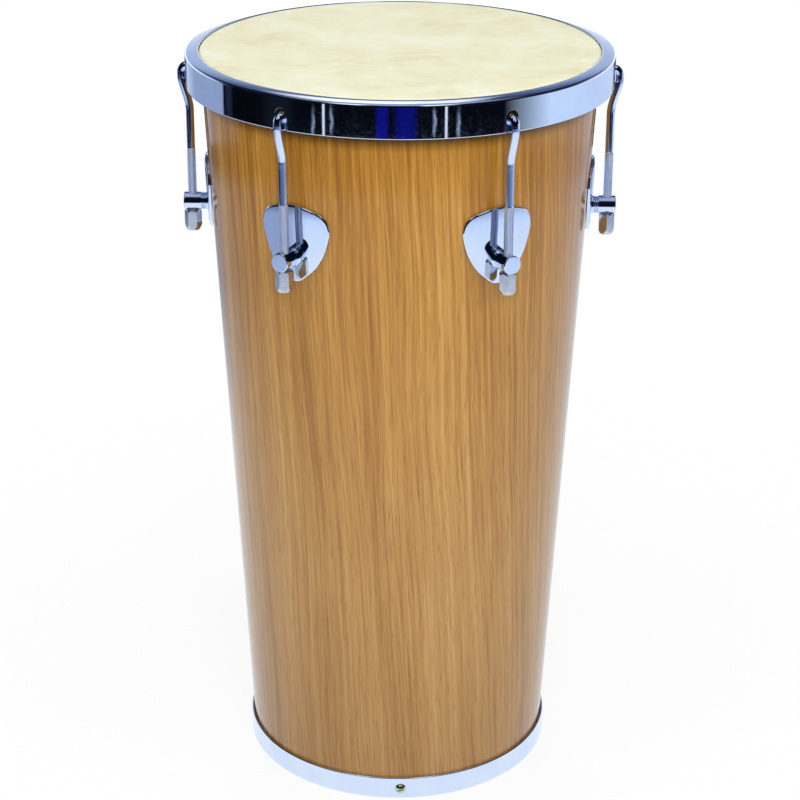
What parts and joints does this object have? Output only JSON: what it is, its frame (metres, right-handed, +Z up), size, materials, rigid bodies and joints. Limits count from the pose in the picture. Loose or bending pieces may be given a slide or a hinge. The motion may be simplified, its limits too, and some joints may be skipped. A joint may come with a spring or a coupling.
{
  "type": "rebolo drum",
  "caption": "Tapered wooden hand drum with one skin head, tuned by hooked rods and nuts on shell lugs, open at the bottom.",
  "frame": {"origin": "middle of the bottom ring's underside, on the floor", "axes": "+Z up along the drum's axis towards the skin, -Y midway between lugs 1 and 6, just beside the bottom ring's first screw, +X and -X through the two side lugs"},
  "size_m": [0.289, 0.2768, 0.5],
  "materials": {
    "wood": "glossy varnished veneer over plywood",
    "skin": "matte natural hide",
    "chrome": "bright chrome plate",
    "steel": "plain zinc-plated steel",
    "yellow_zinc": "yellow zinc plate"
  },
  "bodies": {
    "root": {"shell": "wood", "bottom_ring": "chrome", "lug_plate_1": "chrome", "lug_plate_2": "chrome", "lug_plate_3": "chrome", "lug_plate_4": "chrome", "lug_plate_5": "chrome", "lug_plate_6": "chrome", "lug_post_1": "chrome", "lug_post_2": "chrome", "lug_post_3": "chrome", "lug_post_4": "chrome", "lug_post_5": "chrome", "lug_post_6": "chrome", "lug_bolt_1": "steel", "lug_bolt_2": "steel", "lug_bolt_3": "steel", "lug_bolt_4": "steel", "lug_bolt_5": "steel", "lug_bolt_6": "steel", "lug_washer_1": "steel", "lug_washer_2": "steel", "lug_washer_3": "steel", "lug_washer_4": "steel", "lug_washer_5": "steel", "lug_washer_6": "steel", "ring_screw_1": "yellow_zinc", "ring_screw_2": "yellow_zinc", "ring_screw_3": "yellow_zinc", "ring_nut_1": "steel", "ring_nut_2": "steel", "ring_nut_3": "steel"},
    "head": {"head_skin": "skin", "flesh_hoop": "steel", "counterhoop": "chrome", "tension_hook_1": "chrome", "tension_hook_2": "chrome", "tension_hook_3": "chrome", "tension_hook_4": "chrome", "tension_hook_5": "chrome", "tension_hook_6": "chrome"},
    "nut_1": {"tuning_nut_1": "chrome"},
    "nut_2": {"tuning_nut_2": "chrome"},
    "nut_3": {"tuning_nut_3": "chrome"},
    "nut_4": {"tuning_nut_4": "chrome"},
    "nut_5": {"tuning_nut_5": "chrome"},
    "nut_6": {"tuning_nut_6": "chrome"}
  },
  "joints": [
    {"name": "nut_turn_1", "type": "hinge", "parent": "root", "child": "nut_1", "pos_m": [0.0685, -0.11865, 0.382], "axis": [0, 0, -1], "range_deg": [0, 2880]},
    {"name": "nut_turn_2", "type": "hinge", "parent": "root", "child": "nut_2", "pos_m": [0.13701, 0, 0.382], "axis": [0, 0, -1], "range_deg": [0, 2880]},
    {"name": "nut_turn_3", "type": "hinge", "parent": "root", "child": "nut_3", "pos_m": [0.0685, 0.11865, 0.382], "axis": [0, 0, -1], "range_deg": [0, 2880]},
    {"name": "nut_turn_4", "type": "hinge", "parent": "root", "child": "nut_4", "pos_m": [-0.0685, 0.11865, 0.382], "axis": [0, 0, -1], "range_deg": [0, 2880]},
    {"name": "nut_turn_5", "type": "hinge", "parent": "root", "child": "nut_5", "pos_m": [-0.13701, 0, 0.382], "axis": [0, 0, -1], "range_deg": [0, 2880]},
    {"name": "nut_turn_6", "type": "hinge", "parent": "root", "child": "nut_6", "pos_m": [-0.0685, -0.11865, 0.382], "axis": [0, 0, -1], "range_deg": [0, 2880]},
    {"name": "head_lift", "type": "slide", "parent": "root", "child": "head", "axis": [0, 0, 1], "range_m": [0, 0.008]}
  ],
  "couplings": [
    {"joint": "nut_turn_1", "follows": "head_lift", "rad_per_m": 6283.2},
    {"joint": "nut_turn_2", "follows": "head_lift", "rad_per_m": 6283.2},
    {"joint": "nut_turn_3", "follows": "head_lift", "rad_per_m": 6283.2},
    {"joint": "nut_turn_4", "follows": "head_lift", "rad_per_m": 6283.2},
    {"joint": "nut_turn_5", "follows": "head_lift", "rad_per_m": 6283.2},
    {"joint": "nut_turn_6", "follows": "head_lift", "rad_per_m": 6283.2}
  ]
}
